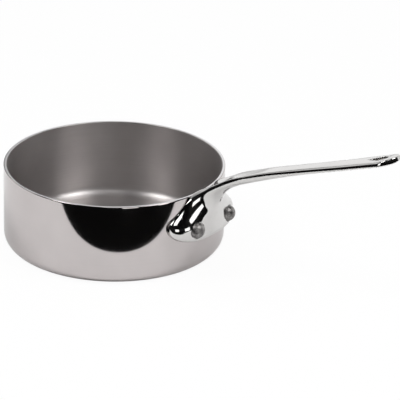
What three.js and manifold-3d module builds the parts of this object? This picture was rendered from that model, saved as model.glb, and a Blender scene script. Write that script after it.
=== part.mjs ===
// A small straight-sided saute pan: a bonded three-ply body with a rounded rim, and one
// cast handle whose winged plate is held to the wall by two dome-headed rivets.
// Millimetres, +Z up. The origin is the middle of the underside, and +X runs along the handle.

import * as THREE from 'three';
import { mergeVertices } from 'three/addons/utils/BufferGeometryUtils.js';
import Module from 'manifold-3d';

const wasm = await Module();
wasm.setup();

// Body
const wallRadius = 60; // outside of the wall
const panHeight = 45.4;
const outerPly = 0.4; // stainless steel, mirror polished outside
const corePly = 0.9; // aluminium
const innerPly = 0.4; // stainless steel, satin inside
const bottomFillet = 7; // outside radius between wall and base
const roundSegments = 64; // facets round the body
const filletSteps = 5;
const rimDrop = 0.7; // height of the rounding over the rim
const rimSquareness = 3.5; // of that rounding: 2 is an ellipse, higher is squarer
const crownSteps = 3; // facets over each ply's share of it

// Rivets
const rivetDrop = 17.2; // rim down to the row of rivets
const rivetAngle = 12.4; // degrees either side of the handle
const shankRadius = 2.5;
const holeClearance = 0.3; // round a shank
const seatClearance = 0.3; // between a head and what it is seated on
const seatDepth = 1; // of the flat seats sunk in the plate
const domeRadius = 4.4;
const domeHeight = 4;
const innerHeadRadius = 5;
const innerHeadHeight = 1.3;
const rivetSegments = 24;
const domeSteps = 6;

// Handle plate, which wraps the wall
const plateClearance = 0.35;
const plateThickness = 7;
const plateBite = 0.8; // how far the rings reach inside the wall before it trims them
const plateBelow = 6.9; // rivets down to the plate's lower edge
const lobeRise = 2; // rivets up to where the lobes are widest
const plateHalfWidth = 28.4; // along the curve of the wall, at the lobes
const lobeCornerWidth = 13; // the lobes' lower corners are quarter ellipses
const lobeCornerHeight = 7.5;
const plateRoundness = 1.8; // fall of a ring's face beside its flat web: 2 is an ellipse
const lobeWeb = 0.55; // flat share of the face
const lobeEdge = 0.59; // how far the edge lies behind the plate's middle, as a share of half its thickness
const plateTop = 7; // squareness of the plate's back, which becomes the bar's top

// Rings of the lobes' lower corners: share of the corner's height, and of the plate's thickness
const lobeCornerRings = [
  [0, 0.5],
  [0.08, 0.85],
  [0.3, 1],
  [0.67, 1],
];

// Neck rings, from the plate up to the bar. out is measured from the plate's middle and up from
// the rivets; lean turns the face from straight out to downward, in degrees; spread is 1 at the
// plate's width and 0 at the bar's; wrap is the radius that the ring curves round and thick its
// thickness, both as shares of the plate's; round, web and edge shape the face as on the plate.
const neckRings = [
  { out: 0.1, up: 5, lean: 0, spread: 0.945, wrap: 0.75, thick: 1.03, round: 1.55, web: 0.32, edge: 0.3 },
  { out: 0.15, up: 7.6, lean: 2, spread: 0.8, wrap: 0.6, thick: 1.1, round: 1.5, web: 0.18, edge: 0.3 },
  { out: 0.25, up: 10.8, lean: 5, spread: 0.62, wrap: 0.5, thick: 1.16, round: 1.4, web: 0.06, edge: 0.42 },
  { out: 1.4, up: 14.6, lean: 15, spread: 0.4, wrap: 0.4, thick: 1.18, round: 1.3, web: 0, edge: 0.42 },
  { out: 6.7, up: 20.2, lean: 42, spread: 0.18, wrap: 0.35, thick: 0.74, round: 1.3, web: 0, edge: 0.32 },
  { out: 15, up: 26.5, lean: 58, spread: 0.055, wrap: 0.45, thick: 0.58, round: 1.8, web: 0.25, edge: 0.5 },
];

// Handle bar: reach is measured from the wall and rise from the rivets
const barReach = 30; // start of the straight bar
const barRise = 32.4;
const barSlope = 22; // degrees above level there
const barHalfWidth = 6.2;
const barThickness = 4.7;
const barEdge = 0.6;
const waistReach = 56; // the slimmest place
const waistRise = 42.7;
const waistHalfWidth = 5.7;
const waistThickness = 4;
const waistEdge = 0.35;
const tipReach = 117.4;
const tipRise = 65.5;
const tipSlope = 24.5; // degrees above level there
const tipThickness = 3.6;
const tipEdge = 0.1;
const tipRound = 8; // length of the rounded end
const tipHalfFlat = 0.7; // half the width left at the very end
const tipFlat = 0.4; // share of the thickness left there
const tipRings = [0.75, 0.4, 0.13, 0]; // rings of the rounded end, as shares of its length
const barRoundness = 2.5; // of the underside
const barWeb = 0.3;
const barTop = 4.5; // squareness of its top

// Hanging eye, a teardrop with its point towards the pan
const eyeBack = 11.6; // tip back to the middle of the eye
const eyeRise = 60.5;
const eyeHalfWidth = 7.1; // half the bar's width beside it
const eyeShoulder = 14; // middle of the eye back to where the bar starts to narrow
const shoulderTaper = 0.5;
const eyeLength = 12;
const eyeWidth = 7;
const eyeSegments = 16;

const ringPoints = 32;
const stepsPerStation = 3;

// What follows from these
const bodyThickness = outerPly + corePly + innerPly;
const rivetZ = panHeight - rivetDrop;
const plateInside = wallRadius + plateClearance;
const plateFace = plateInside + plateThickness;
const plateSeat = plateFace - seatDepth;
const plateMiddle = plateInside + (plateThickness - plateBite) / 2;
const plateHalfThickness = (plateThickness + plateBite) / 2;
const holeRadius = shankRadius + holeClearance;
const innerWallFlat = (wallRadius - bodyThickness) * Math.cos(Math.PI / roundSegments);
const innerSeat = Math.sqrt(innerWallFlat ** 2 - innerHeadRadius ** 2) - seatClearance;
const eyeReach = tipReach - eyeBack;
const eyeGrade = (eyeRise - waistRise) / (eyeReach - waistReach);
const eyeSlope = THREE.MathUtils.radToDeg(Math.atan(eyeGrade));
const degrees = THREE.MathUtils.degToRad;

// A closed geometry as a solid that can be cut
function solid(geometry) {
  const bare = geometry.clone();
  bare.deleteAttribute('normal');
  bare.deleteAttribute('uv');
  const merged = mergeVertices(bare, 1e-4);
  const corners = merged.index.array;
  const kept = [];
  for (let i = 0; i < corners.length; i += 3) {
    const [a, b, c] = corners.slice(i, i + 3);
    if (a !== b && b !== c && c !== a) kept.push(a, b, c);
  }
  const vertProperties = new Float32Array(merged.attributes.position.array);
  const triVerts = new Uint32Array(kept);
  return new wasm.Manifold(new wasm.Mesh({ numProp: 3, vertProperties, triVerts }));
}

function geometryOf(cutSolid) {
  const mesh = cutSolid.getMesh();
  const geometry = new THREE.BufferGeometry();
  geometry.setAttribute('position', new THREE.BufferAttribute(new Float32Array(mesh.vertProperties), 3));
  geometry.setIndex(new THREE.BufferAttribute(new Uint32Array(mesh.triVerts), 1));
  geometry.computeVertexNormals();
  return geometry;
}

// A profile of [radius, height] points turned about Z
function turned(profile, segments) {
  const points = profile.map(([radius, height]) => new THREE.Vector2(radius, height));
  return new THREE.LatheGeometry(points, segments).rotateX(Math.PI / 2);
}

// A quarter turn in equal steps, without its two ends
function quarterTurn(steps) {
  return Array.from({ length: steps - 1 }, (_, i) => (Math.PI / 2) * ((i + 1) / steps));
}

// Body: every ply lies between two copies of one line, at two depths under the outer surface
function rimHeight(depth) {
  const across = Math.abs(1 - (2 * depth) / bodyThickness);
  const crown = Math.max(0, 1 - across ** rimSquareness) ** (1 / rimSquareness);
  return panHeight - rimDrop * (1 - crown);
}

function plyLine(depth) {
  const line = [[0, depth]];
  const radius = bottomFillet - depth;
  for (const turn of [0, ...quarterTurn(filletSteps), Math.PI / 2]) {
    line.push([wallRadius - bottomFillet + radius * Math.sin(turn), bottomFillet - radius * Math.cos(turn)]);
  }
  line.push([wallRadius - depth, rimHeight(depth)]);
  return line;
}

function plyGeometry(outsideDepth, insideDepth) {
  const profile = plyLine(outsideDepth);
  for (let i = 1; i < crownSteps; i += 1) {
    const depth = THREE.MathUtils.lerp(outsideDepth, insideDepth, i / crownSteps);
    profile.push([wallRadius - depth, rimHeight(depth)]);
  }
  profile.push(...plyLine(insideDepth).reverse());
  return turned(profile, roundSegments);
}

// A cylinder along the radius through one rivet, between two distances from the pan's axis
function rivetCylinder(side, radius, from, to) {
  return new THREE.CylinderGeometry(radius, radius, to - from, rivetSegments)
    .rotateZ(Math.PI / 2)
    .translate((from + to) / 2, 0, rivetZ)
    .rotateZ(side * degrees(rivetAngle));
}

// Rivet holes run through wall and plate alike
function drilled(piece) {
  const reach = 2 * (bodyThickness + plateThickness);
  let rest = piece;
  for (const side of [-1, 1]) {
    rest = rest.subtract(solid(rivetCylinder(side, holeRadius, wallRadius - reach, wallRadius + reach)));
  }
  return rest;
}

// Flat seats sunk in the plate under the domes
function spotFaced(piece) {
  let rest = piece;
  for (const side of [-1, 1]) {
    const seat = rivetCylinder(side, domeRadius + seatClearance, plateSeat, plateFace + 2 * domeHeight);
    rest = rest.subtract(solid(seat));
  }
  return rest;
}

// Handle: rings along a path that climbs the wall and then turns outward along the bar.
// out is measured from the wall here, half is half a ring's width, and bend is 1 over its wrap.
function handleStations() {
  const plate = {
    out: plateMiddle - wallRadius,
    lean: 0,
    bend: 1 / plateMiddle,
    thick: plateHalfThickness,
    round: plateRoundness,
    web: lobeWeb,
    edge: lobeEdge,
    top: plateTop,
  };
  const bar = { lean: 90 - eyeSlope, bend: 0, round: barRoundness, web: barWeb, top: barTop };
  const eye = { ...bar, thick: tipThickness / 2, edge: tipEdge };
  const rounded = (share) => Math.sqrt(1 - (1 - Math.min(1, share)) ** 2);
  const corner = ([share, thick]) => ({
    ...plate,
    up: lobeCornerHeight * share - plateBelow,
    half: plateHalfWidth - lobeCornerWidth * (1 - rounded(share)),
    thick: thick * plateHalfThickness,
  });
  const end = (back) => ({
    ...eye,
    lean: 90 - tipSlope,
    out: tipReach - back,
    up: tipRise - back * Math.tan(degrees(tipSlope)),
    half: Math.max(tipHalfFlat, eyeHalfWidth * rounded(back / tipRound)),
    thick: eye.thick * THREE.MathUtils.lerp(tipFlat, 1, rounded(back / tipThickness)),
  });
  const neck = neckRings.map(({ out, up, lean, spread, wrap, thick, ...shape }) => ({
    ...shape,
    out: plate.out + out,
    up,
    lean,
    half: THREE.MathUtils.lerp(barHalfWidth, plateHalfWidth, spread),
    bend: plate.bend / wrap,
    thick: thick * plateHalfThickness,
    top: plateTop,
  }));
  const barStart = { out: barReach, up: barRise, lean: 90 - barSlope, half: barHalfWidth };
  const waist = { out: waistReach, up: waistRise, half: waistHalfWidth };
  const shoulder = { out: eyeReach - eyeShoulder, up: eyeRise - eyeShoulder * eyeGrade };
  return [
    ...lobeCornerRings.map(corner),
    { ...plate, up: lobeRise, half: plateHalfWidth },
    ...neck,
    { ...bar, ...barStart, thick: barThickness / 2, edge: barEdge, top: plateTop },
    { ...bar, ...waist, thick: waistThickness / 2, edge: waistEdge },
    { ...eye, ...shoulder, half: eyeHalfWidth - shoulderTaper },
    { ...eye, out: eyeReach, up: eyeRise, half: eyeHalfWidth },
    end(tipRound),
    ...tipRings.map((share) => end(tipRound * share)),
  ];
}

// One ring of points: a face that is flat over its web and falls from there to the edge,
// and a squarer back
function handleRing({ out, up, lean, half, bend, thick, round, web, edge, top }) {
  const wrap = 1 / Math.max(bend, 1e-4);
  const face = new THREE.Vector3(Math.cos(degrees(lean)), 0, -Math.sin(degrees(lean)));
  const middle = new THREE.Vector3(wallRadius + out, 0, rivetZ + up);
  const ring = [];
  for (let i = 0; i < ringPoints; i += 1) {
    const turn = (2 * Math.PI * (i + 0.5)) / ringPoints;
    const across = Math.abs(Math.cos(turn));
    const beside = Math.max(0, (across - web) / (1 - web));
    const fall = (1 + edge) * Math.sqrt(1 - beside ** round);
    const drop = (1 - edge) * (1 - across ** top) ** (1 / top);
    const along = (half * Math.cos(turn)) / wrap;
    const height = wrap + thick * ((Math.sin(turn) > 0 ? fall : -drop) - edge);
    const point = middle.clone().addScaledVector(face, height * Math.cos(along) - wrap);
    point.y = height * Math.sin(along);
    ring.push(point);
  }
  return ring;
}

function handleLoft() {
  const stations = handleStations();
  const names = Object.keys(stations[0]);
  const places = [0];
  for (let i = 1; i < stations.length; i += 1) {
    const step = Math.hypot(stations[i].out - stations[i - 1].out, stations[i].up - stations[i - 1].up);
    places.push(places[i - 1] + step);
  }
  const values = stations.flatMap((station) => names.map((name) => station[name]));
  const between = new THREE.CubicInterpolant(places, values, names.length);
  const rings = [];
  for (let i = 0; i + 1 < places.length; i += 1) {
    for (let j = 0; j < stepsPerStation; j += 1) {
      const found = between.evaluate(THREE.MathUtils.lerp(places[i], places[i + 1], j / stepsPerStation));
      rings.push(handleRing(Object.fromEntries(names.map((name, k) => [name, found[k]]))));
    }
  }
  rings.push(handleRing(stations.at(-1)));
  return rings;
}

function handleGeometry() {
  const rings = handleLoft();
  const index = [];
  for (let i = 0; i + 1 < rings.length; i += 1) {
    for (let j = 0; j < ringPoints; j += 1) {
      const a = i * ringPoints + j;
      const b = i * ringPoints + ((j + 1) % ringPoints);
      index.push(a, b + ringPoints, b, a, a + ringPoints, b + ringPoints);
    }
  }
  const last = (rings.length - 1) * ringPoints;
  for (let j = 1; j + 1 < ringPoints; j += 1) {
    index.push(0, j, j + 1, last, last + j + 1, last + j);
  }
  const geometry = new THREE.BufferGeometry().setFromPoints(rings.flat());
  geometry.setIndex(index);
  return geometry;
}

// Everything that the pan itself takes up, with the clearance round it
function wallTrimmer() {
  return new THREE.CylinderGeometry(plateInside, plateInside, 2 * panHeight, roundSegments)
    .rotateX(Math.PI / 2)
    .translate(0, 0, panHeight);
}

function eyeCutter() {
  const radius = eyeWidth / 2;
  const point = eyeLength - radius;
  const touch = Math.acos(radius / point);
  const outline = new THREE.Shape();
  outline.moveTo(-point, 0);
  outline.lineTo(-radius * Math.cos(touch), -radius * Math.sin(touch));
  outline.absarc(0, 0, radius, Math.PI + touch, Math.PI - touch, false);
  const depth = 6 * barThickness;
  const options = { depth, bevelEnabled: false, curveSegments: eyeSegments };
  return new THREE.ExtrudeGeometry(outline, options)
    .translate(eyeLength / 2 - radius, 0, -depth / 2)
    .rotateY(-degrees(eyeSlope))
    .translate(wallRadius + eyeReach, 0, rivetZ + eyeRise);
}

// Rivet: low head inside the pan, shank through wall and plate, dome outside.
// Its profile runs outwards from the pan's axis, and it is turned to lie along the radius.
function rivetGeometry() {
  const outerSeat = plateSeat + seatClearance;
  const profile = [[0, innerSeat - innerHeadHeight]];
  for (const turn of quarterTurn(domeSteps)) {
    profile.push([innerHeadRadius * Math.sin(turn), innerSeat - innerHeadHeight * Math.cos(turn)]);
  }
  profile.push([innerHeadRadius, innerSeat], [shankRadius, innerSeat]);
  profile.push([shankRadius, outerSeat], [domeRadius, outerSeat]);
  for (const turn of quarterTurn(domeSteps)) {
    profile.push([domeRadius * Math.cos(turn), outerSeat + domeHeight * Math.sin(turn)]);
  }
  profile.push([0, outerSeat + domeHeight]);
  return turned(profile, rivetSegments).rotateY(Math.PI / 2);
}

const mirrorSteel = { color: 0xc9c6c2, roughness: 0.08, metalness: 1 };
const satinSteel = { color: 0xa8a4a0, roughness: 0.35, metalness: 1 };
const aluminium = { color: 0xd2d3d5, roughness: 0.4, metalness: 1 };
const castSteel = { color: 0xcfccc8, roughness: 0.1, metalness: 1 };
const rivetSteel = { color: 0x77736f, roughness: 0.45, metalness: 1 };

const pan = new THREE.Group();

function addPiece(parent, name, geometry, look) {
  const mesh = new THREE.Mesh(geometry, new THREE.MeshStandardMaterial(look));
  mesh.name = name;
  parent.add(mesh);
}

const plies = [
  ['outer_ply', 0, outerPly, mirrorSteel],
  ['core_ply', outerPly, outerPly + corePly, aluminium],
  ['inner_ply', outerPly + corePly, bodyThickness, satinSteel],
];
for (const [name, outsideDepth, insideDepth, look] of plies) {
  addPiece(pan, name, geometryOf(drilled(solid(plyGeometry(outsideDepth, insideDepth)))), look);
}

const handle = spotFaced(drilled(solid(handleGeometry())))
  .subtract(solid(wallTrimmer()))
  .subtract(solid(eyeCutter()));
addPiece(pan, 'handle', geometryOf(handle), castSteel);

for (const [name, side] of [['rivet_near', -1], ['rivet_far', 1]]) {
  const bearing = new THREE.Group();
  bearing.position.z = rivetZ;
  bearing.rotation.z = side * degrees(rivetAngle);
  addPiece(bearing, name, rivetGeometry(), rivetSteel);
  pan.add(bearing);
}

export default pan;
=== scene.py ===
# A small straight-sided saute pan in polished steel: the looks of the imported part.
# Sizes are in millimetres, as in the CAD part, and meshes are made in metres. Angles are in degrees.

import math

import bpy
import numpy as np
from mathutils import Matrix, Vector


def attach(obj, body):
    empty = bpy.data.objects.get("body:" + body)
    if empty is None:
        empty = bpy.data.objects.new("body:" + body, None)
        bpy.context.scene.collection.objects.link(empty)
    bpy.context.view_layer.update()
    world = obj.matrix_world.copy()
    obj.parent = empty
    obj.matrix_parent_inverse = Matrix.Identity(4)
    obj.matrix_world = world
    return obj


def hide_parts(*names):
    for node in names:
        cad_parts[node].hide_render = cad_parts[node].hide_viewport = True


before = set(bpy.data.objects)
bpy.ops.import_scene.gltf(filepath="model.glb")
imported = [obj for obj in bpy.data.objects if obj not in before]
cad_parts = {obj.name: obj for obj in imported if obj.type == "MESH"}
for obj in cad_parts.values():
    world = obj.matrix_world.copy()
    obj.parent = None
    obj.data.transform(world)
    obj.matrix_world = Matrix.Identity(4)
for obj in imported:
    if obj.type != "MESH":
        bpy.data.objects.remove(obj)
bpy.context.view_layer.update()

MM = 0.001

# Body
WALL_RADIUS = 60
PAN_HEIGHT = 45.4
OUTER_PLY = 0.4
CORE_PLY = 0.9
INNER_PLY = 0.4
BOTTOM_FILLET = 7
RIM_DROP = 0.7  # height of the rim's round
RIM_SQUARENESS = 3.5
ROUND_SEGMENTS = 256
FILLET_STEPS = 24
RIM_STEPS = 10
SUPPORT = 0.5  # an edge loop this far from a round keeps what lies beside it straight
SHARP_ANGLE = 35  # faces that meet at more than this keep a crisp edge

# Rivets
RIVET_Z = 28.2
RIVET_ANGLE = 12.4
SHANK_RADIUS = 2.5
HOLE_CLEARANCE = 0.3
DOME_RADIUS = 4.4
DOME_HEIGHT = 4.3
INNER_HEAD_RADIUS = 5
INNER_HEAD_HEIGHT = 1.3
SEAT_DEPTH = 1
SEAT_CLEARANCE = 0.3
RIVET_SEGMENTS = 64
INNER_HEAD_STEPS = 12
DOME_STEPS = 24

# Handle plate
PLATE_CLEARANCE = 0.35
PLATE_THICKNESS = 7
PLATE_BITE = 0.8  # the plate is made this much too deep, and the wall's round is then cut out of it
PLATE_BELOW = 6.9
LOBE_RISE = 2
PLATE_HALF_WIDTH = 28.4
LOBE_CORNER_WIDTH = 13
LOBE_CORNER_HEIGHT = 7.5
LOBE_END = 0.5  # share of the plate's thickness that is left at its lower edge
PLATE_ROUNDNESS = 1.8
PLATE_TOP = 7  # squareness of the plate's back, which becomes the bar's top
LOBE_WEB = 0.55
LOBE_EDGE = 0.59
EDGE_ROUND = 0.25  # share of a lobe corner's height over which the plate's lower edge is rounded

# Neck rings: out, up, lean, spread, wrap, thick, round, web and edge, as in the CAD part
NECK_RINGS = (
    (0.1, 5, 0, 0.945, 0.75, 1.03, 1.55, 0.32, 0.3),
    (0.15, 7.6, 2, 0.8, 0.6, 1.1, 1.5, 0.18, 0.3),
    (0.25, 10.8, 5, 0.62, 0.5, 1.16, 1.4, 0.06, 0.42),
    (1.4, 14.6, 15, 0.4, 0.4, 1.18, 1.3, 0, 0.42),
    (6.7, 20.2, 42, 0.18, 0.35, 0.74, 1.3, 0, 0.32),
    (14.95, 26.5, 58, 0.055, 0.45, 0.58, 1.8, 0.25, 0.5),
)

# Handle bar
BAR_REACH = 30
BAR_RISE = 32.4
BAR_SLOPE = 22
BAR_HALF_WIDTH = 6.2
BAR_THICKNESS = 4.7
BAR_EDGE = 0.6
WAIST_REACH = 56
WAIST_RISE = 42.7
WAIST_HALF_WIDTH = 5.7
WAIST_THICKNESS = 4
WAIST_EDGE = 0.35
TIP_REACH = 117.4
TIP_RISE = 65.5
TIP_SLOPE = 24.5
TIP_THICKNESS = 3.6
TIP_EDGE = 0.1
TIP_ROUND = 8
TIP_HALF_FLAT = 0.7
TIP_END = 0.4  # share of the bar's thickness that is left at its very tip
BAR_ROUNDNESS = 2.5
BAR_WEB = 0.3
BAR_TOP = 4.5  # squareness of the bar's top from the waist on

# Hanging eye
EYE_BACK = 11.6
EYE_RISE = 60.5
EYE_HALF_WIDTH = 7.1
EYE_SHOULDER = 14
SHOULDER_TAPER = 0.5
EYE_LENGTH = 12
EYE_WIDTH = 7
EYE_LIP = 0.3  # rounding of the eye's edges
EYE_CUT = 6  # reach of the eye's cutter above and below the bar's middle
EYE_ARC_STEPS = 32
EYE_LIP_STEPS = 6

# Mesh of the handle
RING_POINTS = 72
RING_GAP = 0.8  # between rings along the handle
CORNER_STEPS = 14
SECTION_STEPS = 360  # in a quarter of a ring's outline, before its points are spread along it
FLATTEST_BEND = 1e-4  # stands in for no bend at all
WALL_CUT_FOOT = -1  # height where the cutter for the wall starts, below the pan

# What follows from these
BODY_THICKNESS = OUTER_PLY + CORE_PLY + INNER_PLY
PLATE_INSIDE = WALL_RADIUS + PLATE_CLEARANCE
PLATE_FACE = PLATE_INSIDE + PLATE_THICKNESS
PLATE_MIDDLE = PLATE_INSIDE + (PLATE_THICKNESS - PLATE_BITE) / 2
PLATE_HALF_THICKNESS = (PLATE_THICKNESS + PLATE_BITE) / 2
RIVET_SEAT = PLATE_FACE - SEAT_DEPTH
HOLE_RADIUS = SHANK_RADIUS + HOLE_CLEARANCE
HOLE_LOOP = HOLE_RADIUS + 4 * HOLE_CLEARANCE  # edge loops this far above and below the rivets
EYE_REACH = TIP_REACH - EYE_BACK
EYE_GRADE = (EYE_RISE - WAIST_RISE) / (EYE_REACH - WAIST_REACH)
EYE_SLOPE = math.degrees(math.atan(EYE_GRADE))
SHOULDER_REACH = TIP_REACH - (EYE_BACK + EYE_SHOULDER)
SHOULDER_RISE = EYE_RISE - EYE_SHOULDER * EYE_GRADE
SHOULDER_HALF_WIDTH = EYE_HALF_WIDTH - SHOULDER_TAPER

# Camera and stage have x to the right in the picture, y away from the viewer and z up
PICTURE_SIZE = 400
VIEW_AZIMUTH = 34.5
CAMERA_PLACE = (46.655, -1482.78, 676.687)
CAMERA_ELEVATION = 23.7463
CAMERA_ROLL = math.degrees(0.021)
CAMERA_FOCUS = 2978.35  # focal length in pixels
CAMERA_SIGHT = 100  # in metres
SENSOR = 36

# Stage: a white table with a front edge, dark beyond it, white behind, and cards seen in the metal
FLOOR_HALF = 4000
FLOOR_TONE = 0.86
FLOOR_LIFT = 0.95  # share of plain white in what the viewer sees of the table
EDGE_PLACE = -102  # of the table's front edge, straight before the pan's axis
EDGE_TURN = 6.1
DARK_REACH = 3900
DARK_HEIGHT = 0.4
DARK_TONE = 0.004
BACK_PLACE = 1200
BACK_HALF = 600
BACK_HEIGHT = 2000
BACK_GLOW = 1
FLAG_PLACE = 500
FLAG_LEFT = -300
FLAG_RIGHT = -60
FLAG_LOW = 140
FLAG_HIGH = 380
NECK_PLACE = Vector((50, -45))
CARD_FOOT = 0.6
CARD_GLOW = 1.7

# Lit cards: name, bearing and distance from the handle's neck, width and height
LIT_CARDS = (
    ("front_card", 181, 125, 44, 88),
    ("right_card", 139, 100, 28, 80),
)

# Soft lamps: name, place, aim, width and length, and brightness
SOFT_LAMPS = (
    ("left_box", (-600, -220, 890), (0, 0, 20), (300, 380), 9),
    ("top_box", (20, -500, 900), (*NECK_PLACE, 40), (280, 320), 2),
    ("right_box", (560, -310, 890), (0, 0, 20), (460, 400), 7),
)

# Room that the metal mirrors
ROOM_DARK = 0.012
ROOM_DARK_FROM = -0.12  # as the part of a direction that points away from the viewer
ROOM_WHITE_FROM = -0.02
CEILING_FROM = 28
CEILING_FULL = 38
CEILING_TONE = 0.1
ROOM_LIGHT = 0.6  # tone of the room for what isn't metal

# Where the two colours of a metal lie in its pattern
DARK_AT = 0.3
LIGHT_AT = 0.7

to_row = Matrix.Rotation(math.radians(VIEW_AZIMUTH), 4, "Z")  # picture axes to the part's axes


# Meshes

def new_object(name, points, faces):
    mesh = bpy.data.meshes.new(name)
    mesh.from_pydata([Vector(p) * MM for p in points], [], faces)
    mesh.polygons.foreach_set("use_smooth", [True] * len(mesh.polygons))
    mesh.update()
    made = bpy.data.objects.new(name, mesh)
    bpy.context.scene.collection.objects.link(made)
    return made


def turned(name, profile, segments, place=Matrix.Identity(4)):
    """A closed profile of (radius, height) points, from axis to axis, turned about Z and then placed."""
    points = []
    rows = []
    for radius, height in profile:
        if radius == 0:
            rows.append([len(points)] * segments)
            points.append((0, 0, height))
            continue
        rows.append(list(range(len(points), len(points) + segments)))
        for i in range(segments):
            turn = 2 * math.pi * i / segments
            points.append((radius * math.cos(turn), radius * math.sin(turn), height))
    faces = []
    for low, high in zip(rows, rows[1:]):
        for i in range(segments):
            j = (i + 1) % segments
            corners = [low[i], low[j], high[j], high[i]]
            faces.append(list(dict.fromkeys(corners)))
    return new_object(name, [place @ Vector(p) for p in points], faces)


def cut(piece, cutters):
    for cutter in cutters:
        step = piece.modifiers.new("cut", "BOOLEAN")
        step.operation = "DIFFERENCE"
        step.solver = "EXACT"
        step.object = cutter
    bpy.context.view_layer.update()
    whole = piece.data
    result = piece.evaluated_get(bpy.context.evaluated_depsgraph_get())
    piece.data = bpy.data.meshes.new_from_object(result)
    piece.data.name = piece.name
    piece.modifiers.clear()
    bpy.data.meshes.remove(whole)
    for cutter in cutters:
        bpy.data.objects.remove(cutter)


def finish_piece(piece, node, material):
    piece.data.set_sharp_from_angle(angle=math.radians(SHARP_ANGLE))
    piece.data.materials.clear()
    piece.data.materials.append(material)
    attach(piece, "root")
    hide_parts(node)


def along_rivet(side):
    """From a rivet's own axes, whose +Z points outwards from the pan's axis, to the part's."""
    outwards = Matrix.Rotation(math.radians(90), 4, "Y")
    bearing = Matrix.Rotation(side * math.radians(RIVET_ANGLE), 4, "Z")
    return Matrix.Translation((0, 0, RIVET_Z)) @ bearing @ outwards


def rivet_cylinders(radius, start, end):
    made = []
    for side in (-1, 1):
        profile = [(0, start), (radius, start), (radius, end), (0, end)]
        made.append(turned("cutter", profile, RIVET_SEGMENTS, along_rivet(side)))
    return made


def hole_cutters():
    return rivet_cylinders(HOLE_RADIUS, WALL_RADIUS / 2, 2 * WALL_RADIUS)


def seat_cutters():
    return rivet_cylinders(DOME_RADIUS + SEAT_CLEARANCE, RIVET_SEAT, PLATE_FACE + DOME_HEIGHT)


# Body

def rim_turn(depth):
    """Where a depth into the wall comes on the rim's round, from 0 outside to pi inside."""
    across = 1 - 2 * depth / BODY_THICKNESS
    return math.acos(math.copysign(abs(across) ** (RIM_SQUARENESS / 2), across))


def rim_point(turn):
    across = math.copysign(abs(math.cos(turn)) ** (2 / RIM_SQUARENESS), math.cos(turn))
    rise = math.sin(turn) ** (2 / RIM_SQUARENESS)
    return WALL_RADIUS - BODY_THICKNESS / 2 * (1 - across), PAN_HEIGHT - RIM_DROP * (1 - rise)


def ply_line(depth):
    """(radius, height) from the axis out along the base, round the fillet and up the wall."""
    radius = BOTTOM_FILLET - depth
    centre = WALL_RADIUS - BOTTOM_FILLET
    wall = WALL_RADIUS - depth
    top = PAN_HEIGHT - RIM_DROP
    line = [(0, depth), (centre / 2, depth), (centre - SUPPORT, depth)]
    for turn in np.linspace(0, math.pi / 2, FILLET_STEPS + 1):
        line.append((centre + radius * math.sin(turn), BOTTOM_FILLET - radius * math.cos(turn)))
    for height in (BOTTOM_FILLET + SUPPORT, RIVET_Z - HOLE_LOOP, RIVET_Z + HOLE_LOOP, top - SUPPORT):
        line.append((wall, height))
    return line


def ply_profile(outside, inside):
    turns = np.linspace(rim_turn(outside), rim_turn(inside), RIM_STEPS + 1)
    return ply_line(outside) + [rim_point(turn) for turn in turns] + ply_line(inside)[::-1]


def ply(name, outside, inside):
    made = turned(name, ply_profile(outside, inside), ROUND_SEGMENTS)
    cut(made, hole_cutters())
    return made


# Handle, as rows of out, up, lean, half width, bend, half thickness, roundness, web, edge and top

def plate_row(up, half, thick):
    place = (PLATE_MIDDLE - WALL_RADIUS, up, 0)
    return (*place, half, 1 / PLATE_MIDDLE, thick, PLATE_ROUNDNESS, LOBE_WEB, LOBE_EDGE, PLATE_TOP)


def lobe_row(share):
    half = PLATE_HALF_WIDTH - LOBE_CORNER_WIDTH * (1 - math.sqrt(1 - (1 - share) ** 2))
    edge = 1 - min(1, share / EDGE_ROUND)
    thick = PLATE_HALF_THICKNESS * (LOBE_END + (1 - LOBE_END) * math.sqrt(1 - edge**2))
    return plate_row(LOBE_CORNER_HEIGHT * share - PLATE_BELOW, half, thick)


def neck_row(out, up, lean, spread, wrap, thick, *shape):
    half = BAR_HALF_WIDTH + spread * (PLATE_HALF_WIDTH - BAR_HALF_WIDTH)
    place = (PLATE_MIDDLE - WALL_RADIUS + out, up, lean)
    return (*place, half, 1 / PLATE_MIDDLE / wrap, thick * PLATE_HALF_THICKNESS, *shape, PLATE_TOP)


def bar_row(reach, rise, slope, half, thickness, edge, top):
    return (reach, rise, 90 - slope, half, 0, thickness / 2, BAR_ROUNDNESS, BAR_WEB, edge, top)


def tip_row(back):
    half = max(TIP_HALF_FLAT, EYE_HALF_WIDTH * math.sqrt(1 - (1 - back / TIP_ROUND) ** 2))
    edge = 1 - min(1, back / TIP_THICKNESS)
    thickness = TIP_THICKNESS * (TIP_END + (1 - TIP_END) * math.sqrt(1 - edge**2))
    rise = TIP_RISE - back * math.tan(math.radians(TIP_SLOPE))
    return bar_row(TIP_REACH - back, rise, TIP_SLOPE, half, thickness, TIP_EDGE, BAR_TOP)


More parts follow.
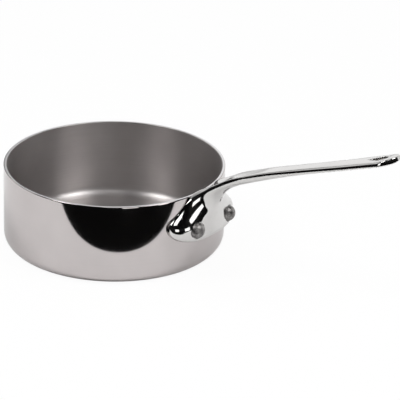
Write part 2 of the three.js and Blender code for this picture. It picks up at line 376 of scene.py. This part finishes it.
def handle_stations():
    rows = [
        plate_row(LOBE_CORNER_HEIGHT - PLATE_BELOW, PLATE_HALF_WIDTH, PLATE_HALF_THICKNESS),
        plate_row(LOBE_RISE, PLATE_HALF_WIDTH, PLATE_HALF_THICKNESS),
    ]
    rows += [neck_row(*ring) for ring in NECK_RINGS]
    slim = (TIP_THICKNESS, TIP_EDGE, BAR_TOP)
    rows += [
        bar_row(BAR_REACH, BAR_RISE, BAR_SLOPE, BAR_HALF_WIDTH, BAR_THICKNESS, BAR_EDGE, PLATE_TOP),
        bar_row(WAIST_REACH, WAIST_RISE, EYE_SLOPE, WAIST_HALF_WIDTH, WAIST_THICKNESS, WAIST_EDGE, BAR_TOP),
        bar_row(SHOULDER_REACH, SHOULDER_RISE, EYE_SLOPE, SHOULDER_HALF_WIDTH, *slim),
        bar_row(EYE_REACH, EYE_RISE, EYE_SLOPE, EYE_HALF_WIDTH, *slim),
        tip_row(TIP_ROUND),
    ]
    return np.array(rows, float)


def smooth_rows(rows, first_slope, last_slope):
    """A cubic spline through the rows, with even curvature and the given slopes at its ends."""
    places = np.concatenate([[0], np.cumsum(np.hypot(*np.diff(rows[:, :2], axis=0).T))])
    gaps = np.diff(places)
    steps = np.diff(rows, axis=0) / gaps[:, None]
    count = len(rows)
    system = np.eye(count)
    known = np.empty_like(rows)
    known[0] = first_slope
    known[-1] = last_slope
    for i in range(1, count - 1):
        system[i, i - 1 : i + 2] = gaps[i], 2 * (gaps[i - 1] + gaps[i]), gaps[i - 1]
        known[i] = 3 * (gaps[i] * steps[i - 1] + gaps[i - 1] * steps[i])
    slopes = np.linalg.solve(system, known)
    made = []
    for place in np.linspace(0, places[-1], round(places[-1] / RING_GAP) + 1):
        i = min(np.searchsorted(places, place, side="right") - 1, count - 2)
        t = (place - places[i]) / gaps[i]
        made.append(
            (1 + 2 * t) * (1 - t) ** 2 * rows[i]
            + t * (1 - t) ** 2 * gaps[i] * slopes[i]
            + t * t * (3 - 2 * t) * rows[i + 1]
            + t * t * (t - 1) * gaps[i] * slopes[i + 1]
        )
    return made


def handle_rows():
    quarter = np.linspace(0, math.pi / 2, CORNER_STEPS + 1)
    lobes = [lobe_row(1 - math.cos(turn)) for turn in quarter[:-1]]
    stations = handle_stations()
    still = [0] * (stations.shape[1] - 2)
    slope = math.radians(TIP_SLOPE)
    first = (0, 1, *still)
    last = (math.cos(slope), math.sin(slope), *still)
    tip = [tip_row(TIP_ROUND * (1 - math.cos(turn))) for turn in quarter[::-1][1:]]
    return lobes + smooth_rows(stations, first, last) + tip


def section(half, thick, roundness, web, edge, top):
    """A ring's outline. Its face is flat over the web and round from there to the edge."""
    across = np.cos(np.linspace(0, math.pi / 2, SECTION_STEPS + 1))
    across[-1] = 0
    beside = np.clip((across - web) / (1 - web), 0, 1)
    face = (1 + edge) * np.sqrt(1 - beside**roundness) - edge
    back = -edge - (1 - edge) * (1 - across**top) ** (1 / top)
    x = np.concatenate([across, -across[-2::-1], -across[1:], across[-2::-1]]) * half
    y = np.concatenate([face, face[-2::-1], back[1:], back[-2::-1]]) * thick
    outline = np.stack([x, y], 1)
    steps = np.diff(outline, axis=0)
    length = np.hypot(*steps.T)
    heading = np.unwrap(np.arctan2(steps[:, 1], steps[:, 0]))
    turning = np.abs(np.diff(heading, append=heading[0] + 2 * math.pi))
    share = length / length.sum() + turning / turning.sum()
    place = np.concatenate([[0], np.cumsum(share)])
    wanted = np.arange(RING_POINTS) / RING_POINTS * place[-1]
    return np.stack([np.interp(wanted, place, outline[:, k]) for k in (0, 1)], 1)


def handle_ring(row):
    out, up, lean, half, bend, thick, *shape = row
    wrap = 1 / max(bend, FLATTEST_BEND)
    lean = math.radians(lean)
    flat = section(half, thick, *shape)
    along = flat[:, 0] / wrap
    height = wrap + flat[:, 1]
    lift = height * np.cos(along) - wrap
    ring = np.empty((RING_POINTS, 3))
    ring[:, 0] = WALL_RADIUS + out + lift * math.cos(lean)
    ring[:, 1] = height * np.sin(along)
    ring[:, 2] = RIVET_Z + up - lift * math.sin(lean)
    return ring


def wall_cutter():
    low = WALL_CUT_FOOT
    high = 2 * PAN_HEIGHT
    profile = [(0, low), (PLATE_INSIDE, low), (PLATE_INSIDE, high), (0, high)]
    return turned("cutter", profile, ROUND_SEGMENTS)


def eye_cutter():
    """A teardrop whose walls flare where they come out of the bar, so that the eye's lips are round."""
    radius = EYE_WIDTH / 2
    half_angle = math.asin(radius / (EYE_LENGTH - radius))
    arc = np.linspace(math.pi / 2 + half_angle, -math.pi / 2 - half_angle, EYE_ARC_STEPS + 1)
    inside = TIP_THICKNESS / 2 - EYE_LIP
    levels = [(EYE_CUT, EYE_LIP + 2 * EYE_CUT), (inside + EYE_LIP, EYE_LIP)]
    for turn in np.linspace(math.pi / 2, 0, EYE_LIP_STEPS + 1)[1:]:
        levels.append((inside + EYE_LIP * math.sin(turn), EYE_LIP * (1 - math.cos(turn))))
    levels = levels + [(-height, flare) for height, flare in levels[::-1]]
    place = (
        Matrix.Translation((WALL_RADIUS + EYE_REACH, 0, RIVET_Z + EYE_RISE))
        @ Matrix.Rotation(-math.radians(EYE_SLOPE), 4, "Y")
        @ Matrix.Translation((EYE_LENGTH / 2 - radius, 0, 0))
    )
    points = []
    for height, flare in levels:
        grown = radius + flare
        outline = [(-grown / math.sin(half_angle), 0)]
        outline += [(grown * math.cos(turn), grown * math.sin(turn)) for turn in arc]
        points += [place @ Vector((x, y, height)) for x, y in outline]
    count = len(arc) + 1
    faces = [list(range(count - 1, -1, -1)), list(range(len(points) - count, len(points)))]
    for i in range(len(levels) - 1):
        for j in range(count):
            a = i * count + j
            b = i * count + (j + 1) % count
            faces.append([a, b, b + count, a + count])
    return new_object("cutter", points, faces)


def handle_mesh():
    rings = [handle_ring(row) for row in handle_rows()]
    points = np.concatenate(rings)
    faces = []
    for i in range(len(rings) - 1):
        for j in range(RING_POINTS):
            a = i * RING_POINTS + j
            b = i * RING_POINTS + (j + 1) % RING_POINTS
            faces.append([a, a + RING_POINTS, b + RING_POINTS, b])
    last = (len(rings) - 1) * RING_POINTS
    for j in range(RING_POINTS // 2):
        strip = [j, j + 1, RING_POINTS - j - 1, (RING_POINTS - j) % RING_POINTS]
        strip = list(dict.fromkeys(strip))
        faces.append(strip)
        faces.append([last + k for k in strip[::-1]])
    made = new_object("pan_handle", points, faces)
    cut(made, [wall_cutter(), eye_cutter()] + hole_cutters() + seat_cutters())
    return made


# Rivets

def rivet_profile():
    inner_wall = WALL_RADIUS - BODY_THICKNESS
    inner_seat = math.sqrt(inner_wall**2 - INNER_HEAD_RADIUS**2)
    profile = []
    for turn in np.linspace(0, math.pi / 2, INNER_HEAD_STEPS + 1):
        profile.append((INNER_HEAD_RADIUS * math.sin(turn), inner_seat - INNER_HEAD_HEIGHT * math.cos(turn)))
    profile += [(SHANK_RADIUS, inner_seat), (SHANK_RADIUS, RIVET_SEAT)]
    for turn in np.linspace(0, math.pi / 2, DOME_STEPS + 1):
        profile.append((DOME_RADIUS * math.cos(turn), RIVET_SEAT + DOME_HEIGHT * math.sin(turn)))
    profile[0] = (0, profile[0][1])
    profile[-1] = (0, profile[-1][1])
    return profile


def rivet(name, side):
    return turned(name, rivet_profile(), RIVET_SEGMENTS, along_rivet(side))


# Materials

class Nodes:
    """A material's node tree, with short ways to add and link nodes."""

    def __init__(self, name):
        self.material = bpy.data.materials.new(name)
        self.material.use_nodes = True
        self.tree = self.material.node_tree
        self.shader = self.tree.nodes["Principled BSDF"]
        self.shader.inputs["Metallic"].default_value = 1

    def add(self, kind, **settings):
        node = self.tree.nodes.new("ShaderNode" + kind)
        for key, value in settings.items():
            setattr(node, key, value)
        return node

    def link(self, source, target, socket, output=0):
        self.tree.links.new(source.outputs[output], target.inputs[socket])

    def math(self, operation, a, b):
        node = self.add("Math", operation=operation)
        for socket, value in ((0, a), (1, b)):
            if isinstance(value, bpy.types.Node):
                self.link(value, node, socket)
            else:
                node.inputs[socket].default_value = value
        return node

    def blend(self, first, second, share):
        """The given share of the first, with the rest from the second."""
        one = self.math("MULTIPLY", first, share)
        other = self.math("MULTIPLY", second, 1 - share)
        return self.math("ADD", one, other)

    def noise(self, vector, scale, detail, roughness=0.5):
        node = self.add("TexNoise")
        node.inputs["Scale"].default_value = scale
        node.inputs["Detail"].default_value = detail
        node.inputs["Roughness"].default_value = roughness
        self.link(vector, node, "Vector")
        return node

    def colour(self, source, *stops):
        node = self.add("ValToRGB")
        elements = node.color_ramp.elements
        while len(elements) < len(stops):
            elements.new(0.5)
        for element, (place, tone) in zip(elements, stops):
            element.position = place
            element.color = (*tone, 1)
        self.link(source, node, "Fac")
        self.link(node, self.shader, "Base Color")

    def roughness(self, source, low, high):
        node = self.add("MapRange")
        node.inputs["To Min"].default_value = low
        node.inputs["To Max"].default_value = high
        self.link(source, node, "Value")
        self.link(node, self.shader, "Roughness")

    def bump(self, height, strength, depth):
        node = self.add("Bump")
        node.inputs["Strength"].default_value = strength
        node.inputs["Distance"].default_value = depth * MM
        self.link(height, node, "Height")
        self.link(node, self.shader, "Normal")

    def output(self, shader):
        """Puts another shader in place of the metal one."""
        self.link(shader, self.tree.nodes["Material Output"], "Surface")
        self.tree.nodes.remove(self.shader)


def object_vector(nodes, scale=(1, 1, 1)):
    coordinates = nodes.add("TexCoord")
    mapping = nodes.add("Mapping")
    mapping.inputs["Scale"].default_value = scale
    nodes.link(coordinates, mapping, "Vector", "Object")
    return mapping


def turning_lines(nodes, fineness):
    """Coordinates that vary across the lines left by polishing on a lathe, and hardly along them."""
    coordinates = nodes.add("TexCoord")
    parts = nodes.add("SeparateXYZ")
    nodes.link(coordinates, parts, 0, "Object")
    flat = nodes.add("CombineXYZ")
    nodes.link(parts, flat, "X", "X")
    nodes.link(parts, flat, "Y", "Y")
    radius = nodes.add("VectorMath", operation="LENGTH")
    nodes.link(flat, radius, 0)
    across = nodes.add("Math", operation="ADD")
    nodes.link(radius, across, 0, "Value")
    nodes.link(parts, across, 1, "Z")
    around = nodes.add("VectorMath", operation="NORMALIZE")
    nodes.link(flat, around, 0)
    sides = nodes.add("SeparateXYZ")
    nodes.link(around, sides, 0)
    made = nodes.add("CombineXYZ")
    nodes.link(sides, made, "X", "X")
    nodes.link(sides, made, "Y", "Y")
    nodes.link(nodes.math("MULTIPLY", across, fineness), made, "Z")
    return made


def mirror_steel():
    nodes = Nodes("mirror_steel")
    lines = nodes.noise(turning_lines(nodes, fineness=9000), scale=1, detail=2)
    cloud = nodes.noise(object_vector(nodes), scale=55, detail=3)
    both = nodes.blend(lines, cloud, share=0.35)
    nodes.colour(both, (DARK_AT, (0.53, 0.495, 0.492)), (LIGHT_AT, (0.59, 0.552, 0.548)))
    nodes.roughness(both, low=0.035, high=0.085)
    wave = nodes.noise(object_vector(nodes), scale=28, detail=1)
    nodes.bump(wave, strength=0.25, depth=0.06)
    return nodes.material


def satin_steel():
    nodes = Nodes("satin_steel")
    lines = nodes.noise(turning_lines(nodes, fineness=5200), scale=1, detail=4, roughness=0.65)
    cloud = nodes.noise(object_vector(nodes), scale=70, detail=3)
    both = nodes.blend(lines, cloud, share=0.6)
    nodes.colour(both, (DARK_AT, (0.50, 0.476, 0.47)), (LIGHT_AT, (0.58, 0.552, 0.546)))
    nodes.roughness(both, low=0.36, high=0.44)
    nodes.shader.inputs["Anisotropic"].default_value = 0.7
    nodes.shader.inputs["Anisotropic Rotation"].default_value = 0.25
    tangent = nodes.add("Tangent", direction_type="RADIAL", axis="Z")
    nodes.link(tangent, nodes.shader, "Tangent")
    nodes.bump(lines, strength=0.05, depth=0.02)
    return nodes.material


def core_aluminium():
    nodes = Nodes("core_aluminium")
    lines = nodes.noise(turning_lines(nodes, fineness=12000), scale=1, detail=3)
    nodes.colour(lines, (DARK_AT, (0.70, 0.70, 0.705)), (LIGHT_AT, (0.78, 0.78, 0.785)))
    nodes.roughness(lines, low=0.28, high=0.42)
    nodes.bump(lines, strength=0.1, depth=0.03)
    return nodes.material


def cast_steel():
    nodes = Nodes("cast_steel")
    cloud = nodes.noise(object_vector(nodes), scale=90, detail=4)
    grain = nodes.noise(object_vector(nodes, scale=(0.25, 1, 1)), scale=900, detail=2)
    both = nodes.blend(grain, cloud, share=0.35)
    nodes.colour(both, (DARK_AT, (0.63, 0.62, 0.61)), (LIGHT_AT, (0.69, 0.68, 0.67)))
    nodes.roughness(both, low=0.03, high=0.1)
    wave = nodes.noise(object_vector(nodes), scale=60, detail=2)
    nodes.bump(wave, strength=0.15, depth=0.05)
    return nodes.material


def rivet_steel():
    nodes = Nodes("rivet_steel")
    blotch = nodes.noise(object_vector(nodes), scale=420, detail=4, roughness=0.6)
    fine = nodes.noise(object_vector(nodes), scale=1900, detail=3)
    both = nodes.blend(fine, blotch, share=0.3)
    hollow = (0.34, (0.09, 0.085, 0.085))
    middle = (0.5, (0.24, 0.23, 0.225))
    worn = (0.66, (0.42, 0.41, 0.4))
    nodes.colour(both, hollow, middle, worn)
    nodes.roughness(both, low=0.3, high=0.5)
    nodes.bump(both, strength=0.5, depth=0.3)
    return nodes.material


# Pieces

plies = (
    ("pan_outside", "outer_ply", "mirror_steel", mirror_steel(), 0, OUTER_PLY),
    ("pan_core", "core_ply", "core_aluminium", core_aluminium(), OUTER_PLY, OUTER_PLY + CORE_PLY),
    ("pan_inside", "inner_ply", "satin_steel", satin_steel(), OUTER_PLY + CORE_PLY, BODY_THICKNESS),
)
for name, node, slot, material, outside, inside in plies:
    finish_piece(ply(name, outside, inside), node, material)
finish_piece(handle_mesh(), "handle", cast_steel())
dull = rivet_steel()
for name, node, side in (("near_rivet", "rivet_near", -1), ("far_rivet", "rivet_far", 1)):
    finish_piece(rivet(name, side), node, dull)


# Stage

def flat_card(name, corners, material):
    made = new_object(name, [to_row @ Vector(p) for p in corners], [[0, 1, 2, 3]])
    made.data.materials.append(material)
    return made


def mirrored_card(name, corners, material):
    """A card that is seen only in reflections."""
    made = flat_card(name, corners, material)
    made.visible_camera = False
    made.visible_diffuse = False
    made.visible_shadow = False


def upright_corners(left, right, low, high):
    return [(*left, low), (*right, low), (*right, high), (*left, high)]


def floor_material():
    """White to the viewer, but for a share of its own shading that keeps the shadow."""
    nodes = Nodes("floor_white")
    diffuse = nodes.add("BsdfDiffuse")
    diffuse.inputs["Color"].default_value = (FLOOR_TONE, FLOOR_TONE, FLOOR_TONE, 1)
    lift = nodes.add("Math", operation="MULTIPLY")
    lift.inputs[1].default_value = FLOOR_LIFT
    nodes.link(nodes.add("LightPath"), lift, 0, "Is Camera Ray")
    mix = nodes.add("MixShader")
    nodes.link(lift, mix, 0)
    nodes.link(diffuse, mix, 1)
    nodes.link(nodes.add("Emission"), mix, 2)
    nodes.output(mix)
    return nodes.material


def black_material():
    nodes = Nodes("black_cloth")
    nodes.shader.inputs["Metallic"].default_value = 0
    nodes.shader.inputs["Base Color"].default_value = (DARK_TONE, DARK_TONE, DARK_TONE, 1)
    nodes.shader.inputs["Roughness"].default_value = 1
    nodes.shader.inputs["Specular IOR Level"].default_value = 0
    return nodes.material


def glow_material(name, strength):
    nodes = Nodes(name)
    glow = nodes.add("Emission")
    glow.inputs["Strength"].default_value = strength
    nodes.output(glow)
    return nodes.material


def table():
    half = FLOOR_HALF
    corners = [(-half, -half, 0), (half, -half, 0), (half, half, 0), (-half, half, 0)]
    flat_card("floor", corners, floor_material())


def dark_front(material):
    slant = DARK_REACH * math.tan(math.radians(EDGE_TURN))
    corners = [
        (-DARK_REACH, -DARK_REACH, DARK_HEIGHT),
        (DARK_REACH, -DARK_REACH, DARK_HEIGHT),
        (DARK_REACH, EDGE_PLACE + slant, DARK_HEIGHT),
        (-DARK_REACH, EDGE_PLACE - slant, DARK_HEIGHT),
    ]
    mirrored_card("black_front", corners, material)


def white_back():
    corners = upright_corners((-BACK_HALF, BACK_PLACE), (BACK_HALF, BACK_PLACE), 0, BACK_HEIGHT)
    mirrored_card("white_back", corners, glow_material("back_white", BACK_GLOW))


def lit_card(name, bearing, distance, width, height):
    """A lit card over the table that faces the handle's neck."""
    turn = math.radians(bearing)
    way = Vector((math.sin(turn), math.cos(turn)))
    side = Vector((way.y, -way.x)) * width / 2
    foot = NECK_PLACE + way * distance
    corners = upright_corners(foot - side, foot + side, CARD_FOOT, height)
    mirrored_card(name, corners, glow_material(name + "_white", CARD_GLOW))


def dark_flag(material):
    """A dark card behind the pan on the left, well above the table."""
    corners = upright_corners((FLAG_LEFT, FLAG_PLACE), (FLAG_RIGHT, FLAG_PLACE), FLAG_LOW, FLAG_HIGH)
    mirrored_card("black_flag", corners, material)


black = black_material()
table()
dark_front(black)
white_back()
for card in LIT_CARDS:
    lit_card(*card)
dark_flag(black)


# Light

def world_range(tree, source, span, tones):
    node = tree.nodes.new("ShaderNodeMapRange")
    node.inputs["From Min"].default_value, node.inputs["From Max"].default_value = span
    node.inputs["To Min"].default_value, node.inputs["To Max"].default_value = tones
    tree.links.new(source, node.inputs["Value"])
    return node.outputs["Result"]


def world_choice(tree, which):
    """Sockets of a choice: the number taken where which is 0, the one where it is 1, and the result."""
    node = tree.nodes.new("ShaderNodeMix")
    node.data_type = "FLOAT"
    tree.links.new(which, node.inputs[0])
    return node.inputs[2], node.inputs[3], node.outputs[0]


def studio_world():
    """White to the viewer. The metal mirrors white behind the pan, and dark before and above it."""
    world = bpy.data.worlds.new("studio")
    bpy.context.scene.world = world
    world.use_nodes = True
    tree = world.node_tree
    path = tree.nodes.new("ShaderNodeLightPath")
    direction = tree.nodes.new("ShaderNodeTexCoord").outputs["Generated"]

    away = tree.nodes.new("ShaderNodeVectorMath")
    away.operation = "DOT_PRODUCT"
    away.inputs[1].default_value = (to_row @ Vector((0, 1, 0)))[:3]
    tree.links.new(direction, away.inputs[0])
    sweep = world_range(tree, away.outputs["Value"], (ROOM_DARK_FROM, ROOM_WHITE_FROM), (ROOM_DARK, 1))

    height = tree.nodes.new("ShaderNodeSeparateXYZ")
    tree.links.new(direction, height.inputs[0])
    rise = [math.sin(math.radians(angle)) for angle in (CEILING_FROM, CEILING_FULL)]
    ceiling = world_range(tree, height.outputs["Z"], rise, (1, CEILING_TONE))

    room = tree.nodes.new("ShaderNodeMath")
    room.operation = "MULTIPLY"
    tree.links.new(sweep, room.inputs[0])
    tree.links.new(ceiling, room.inputs[1])

    dull_socket, glossy_socket, light = world_choice(tree, path.outputs["Is Glossy Ray"])
    dull_socket.default_value = ROOM_LIGHT
    tree.links.new(room.outputs[0], glossy_socket)
    light_socket, camera_socket, strength = world_choice(tree, path.outputs["Is Camera Ray"])
    tree.links.new(light, light_socket)
    camera_socket.default_value = 1

    background = tree.nodes["Background"]
    background.inputs["Color"].default_value = (1, 1, 1, 1)
    tree.links.new(strength, background.inputs["Strength"])


def soft_lamp(name, place, aim, size, brightness):
    """An area lamp whose face has the given brightness, where 1 is white."""
    lamp = bpy.data.lights.new(name, "AREA")
    lamp.shape = "RECTANGLE"
    lamp.size = size[0] * MM
    lamp.size_y = size[1] * MM
    lamp.energy = brightness * math.pi * lamp.size * lamp.size_y
    made = bpy.data.objects.new(name, lamp)
    bpy.context.scene.collection.objects.link(made)
    where = to_row @ (Vector(place) * MM)
    towards = to_row @ (Vector(aim) * MM) - where
    made.location = where
    made.rotation_mode = "QUATERNION"
    made.rotation_quaternion = towards.to_track_quat("-Z", "Y")
    made.visible_camera = False


studio_world()
for lamp in SOFT_LAMPS:
    soft_lamp(*lamp)


# Camera

camera = bpy.data.cameras.new("camera")
camera.sensor_width = SENSOR
camera.lens = CAMERA_FOCUS / PICTURE_SIZE * SENSOR
camera.clip_end = CAMERA_SIGHT
viewer = bpy.data.objects.new("camera", camera)
bpy.context.scene.collection.objects.link(viewer)
level = Matrix.Rotation(math.radians(90 - CAMERA_ELEVATION), 4, "X")
roll = Matrix.Rotation(math.radians(CAMERA_ROLL), 4, "Z")
viewer.matrix_world = to_row @ Matrix.Translation(Vector(CAMERA_PLACE) * MM) @ level @ roll
bpy.context.scene.camera = viewer
bpy.context.scene.view_settings.view_transform = "Standard"
